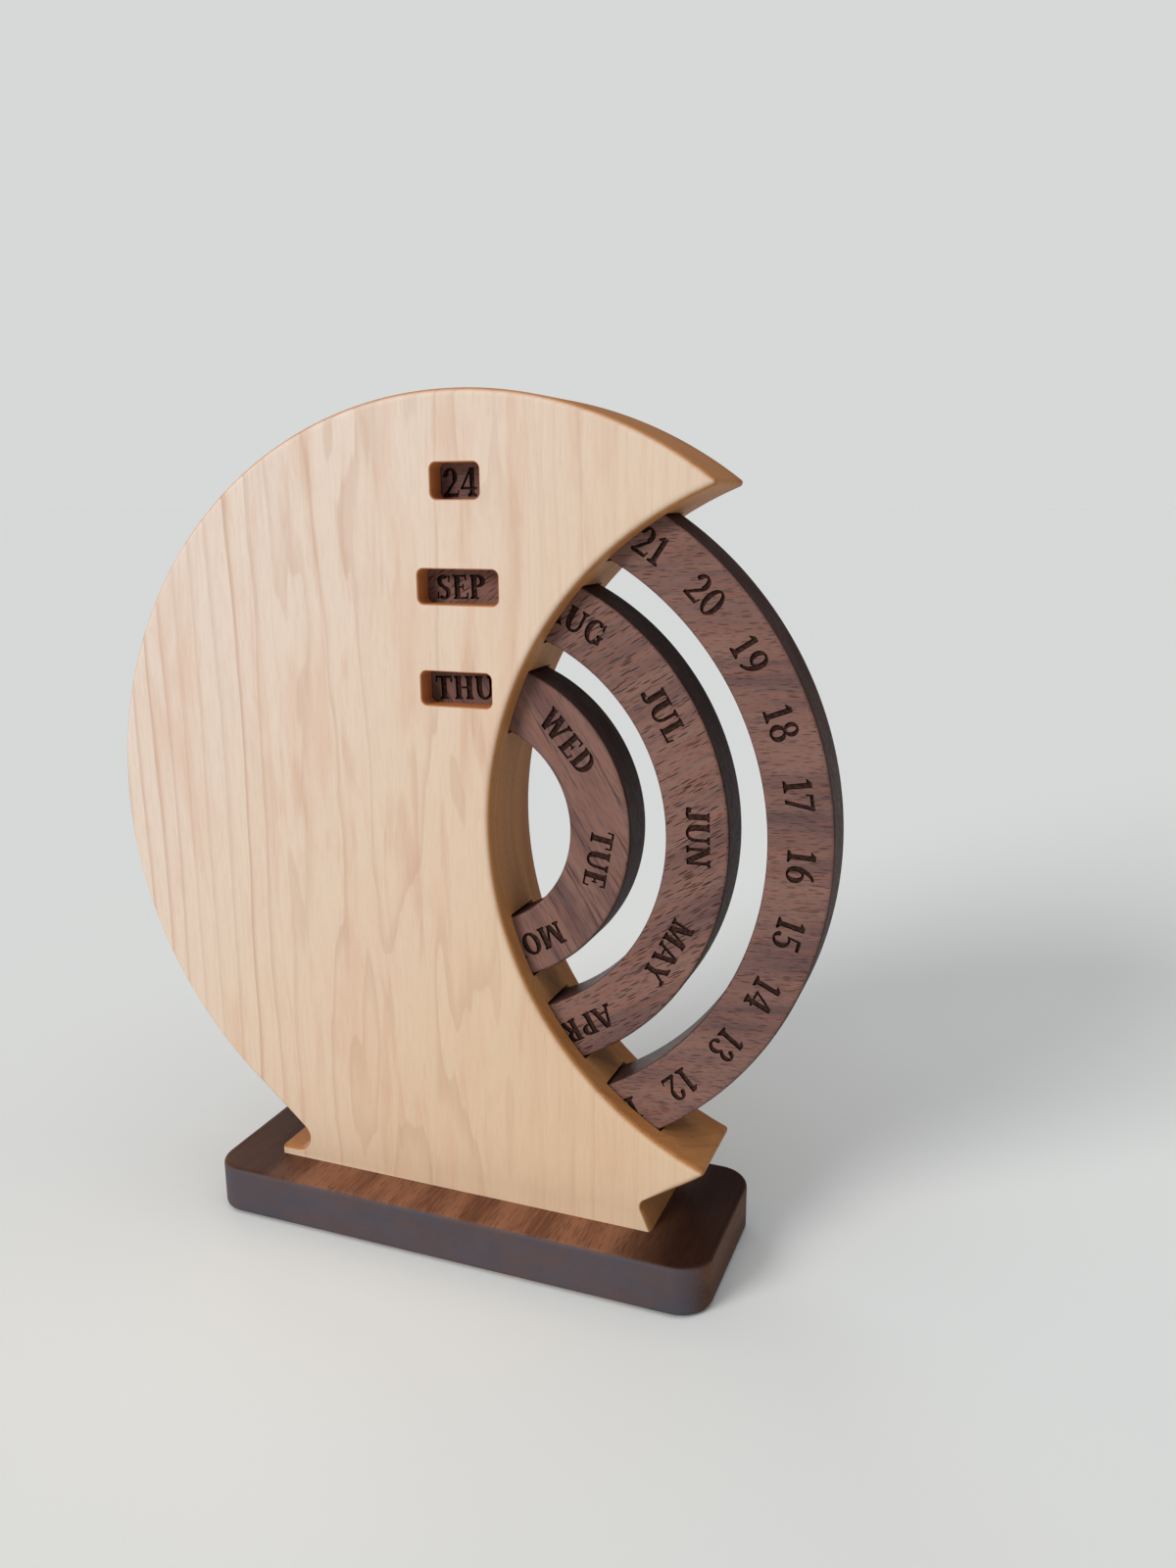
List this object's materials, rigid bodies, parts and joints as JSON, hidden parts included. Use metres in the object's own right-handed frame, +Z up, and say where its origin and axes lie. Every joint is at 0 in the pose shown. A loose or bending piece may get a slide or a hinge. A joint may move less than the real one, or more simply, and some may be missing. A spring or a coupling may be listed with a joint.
{
  "type": "perpetual desk calendar",
  "caption": "Crescent-shaped wooden desk calendar on a flat base, with date, month and weekday rings that turn behind sight windows.",
  "frame": {"origin": "middle of the whole outline, seen from above, on the surface that the calendar stands on", "axes": "+Z up; the front with its sight windows faces -Y; the rings turn about an axis along Y; +X is to the right seen from the front, the side where the rings come out"},
  "size_m": [0.187, 0.048, 0.2104],
  "materials": {
    "maple": "oiled maple, satin",
    "ring_walnut": "oiled walnut, matt",
    "base_walnut": "oiled walnut, satin",
    "screw_steel": "plain steel",
    "felt": "pressed wool felt"
  },
  "bodies": {
    "housing": {"front_panel": "maple", "rim_spacer": "maple", "outer_ridge": "maple", "inner_ridge": "maple", "hub_block": "maple", "back_panel": "maple", "base_plinth": "base_walnut", "base_screw_left": "screw_steel", "base_screw_right": "screw_steel", "pad_left_front": "felt", "pad_left_back": "felt", "pad_right_front": "felt", "pad_right_back": "felt"},
    "dates": {"date_ring": "ring_walnut"},
    "months": {"month_ring": "ring_walnut"},
    "weekdays": {"weekday_ring": "ring_walnut"}
  },
  "joints": [
    {"name": "date_turn", "type": "hinge", "parent": "housing", "child": "dates", "pos_m": [0.0065, 0, 0.1104], "axis": [0, 1, 0], "continuous": true},
    {"name": "month_turn", "type": "hinge", "parent": "housing", "child": "months", "pos_m": [0.0065, 0, 0.1104], "axis": [0, 1, 0], "continuous": true},
    {"name": "weekday_turn", "type": "hinge", "parent": "housing", "child": "weekdays", "pos_m": [0.0065, 0, 0.1104], "axis": [0, 1, 0], "continuous": true}
  ]
}
